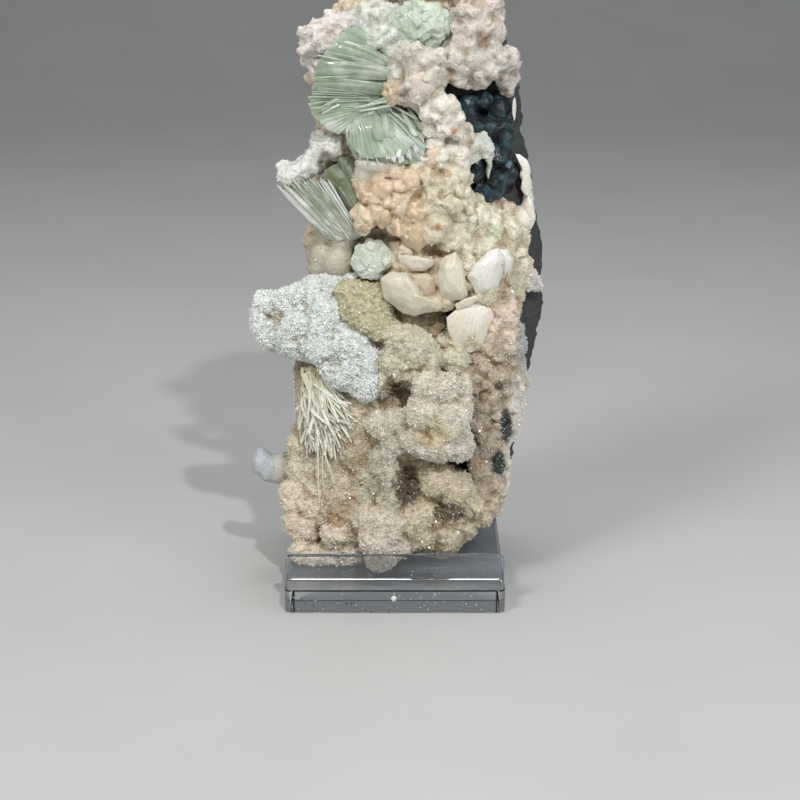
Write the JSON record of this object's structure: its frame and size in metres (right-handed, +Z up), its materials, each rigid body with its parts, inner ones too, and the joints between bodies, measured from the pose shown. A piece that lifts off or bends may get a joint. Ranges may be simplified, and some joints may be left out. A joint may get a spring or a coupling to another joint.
{
  "type": "mineral specimen on a stand",
  "caption": "Tall mineral cluster: green crystal fans, stilbite lumps and sparkling druse on a dark rock plate, held upright by a clear stand.",
  "frame": {"origin": "centre of the stand's underside", "axes": "+Z up, the crystal side faces -Y, +X to the right as seen from the front"},
  "size_m": [0.1381, 0.101, 0.2856],
  "materials": {
    "basalt": "matt, fine grained",
    "stilbite": "pearly, white to peach",
    "cream_druse": "sparkling micro-crystals",
    "pale_druse": "sparkling micro-crystals",
    "apophyllite": "clear, pale green, glassy",
    "needle_ivory": "silky needles",
    "clear_acrylic": "clear, polished"
  },
  "bodies": {
    "root": {"basalt_matrix": "basalt", "stilbite_crust": "stilbite", "druse_mass": "cream_druse", "drusy_wing": "pale_druse", "apophyllite_top_rosette": "apophyllite", "apophyllite_great_fan": "apophyllite", "apophyllite_left_fan": "apophyllite", "apophyllite_small_cluster": "apophyllite", "needle_spray": "needle_ivory", "stand_base": "clear_acrylic", "stand_lip": "clear_acrylic", "stand_back": "clear_acrylic"}
  },
  "joints": []
}
